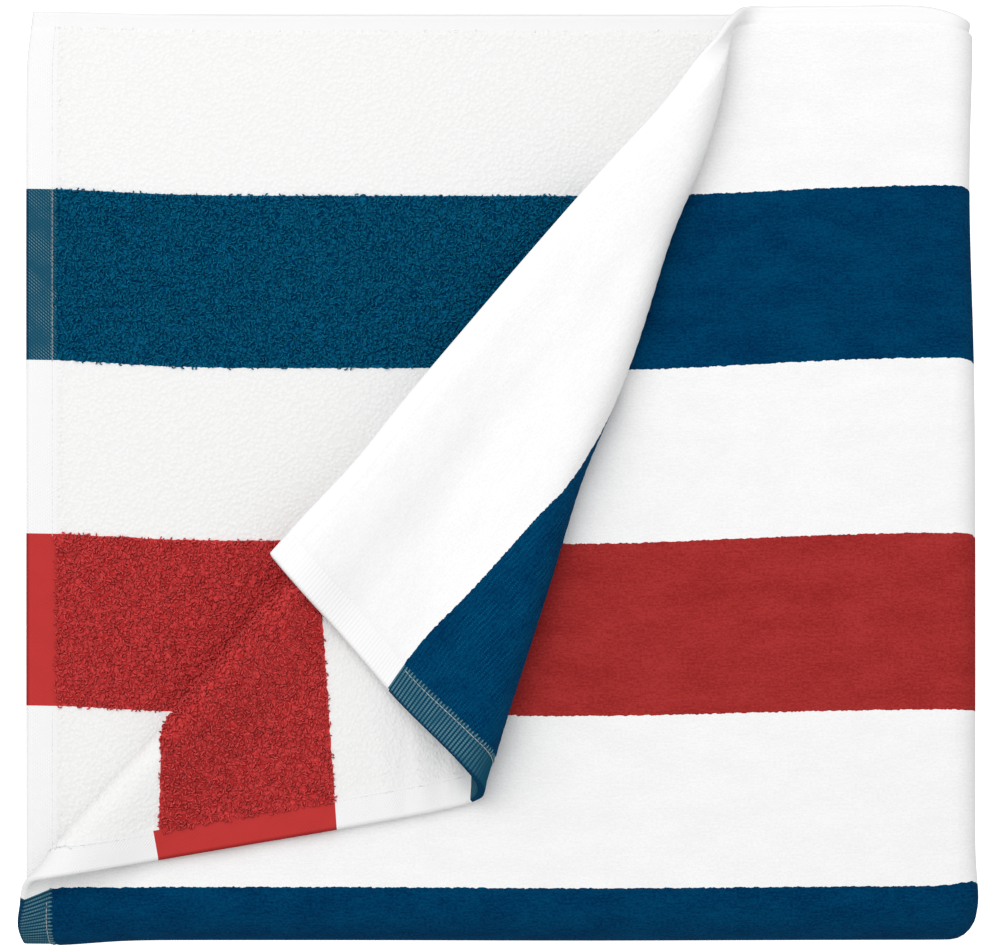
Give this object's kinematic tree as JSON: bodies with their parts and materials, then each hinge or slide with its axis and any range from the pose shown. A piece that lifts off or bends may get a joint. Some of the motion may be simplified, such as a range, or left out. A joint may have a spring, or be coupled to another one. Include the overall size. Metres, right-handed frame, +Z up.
{
  "type": "beach towel",
  "caption": "Striped beach towel folded into a near-square packet, velour on one face and terry on the other, with the hemmed corner of its top layer turned back.",
  "frame": {"origin": "centre of the folded towel's box, on the surface it rests on", "axes": "+Z up through the layers, +X towards the rounded crosswise folds, +Y towards the open long edge"},
  "size_m": [0.3816, 0.3754, 0.0647],
  "materials": {
    "towel": "soft cotton pile, striped in white, blue and red"
  },
  "bodies": {
    "root": {"towel": "towel"}
  },
  "joints": []
}
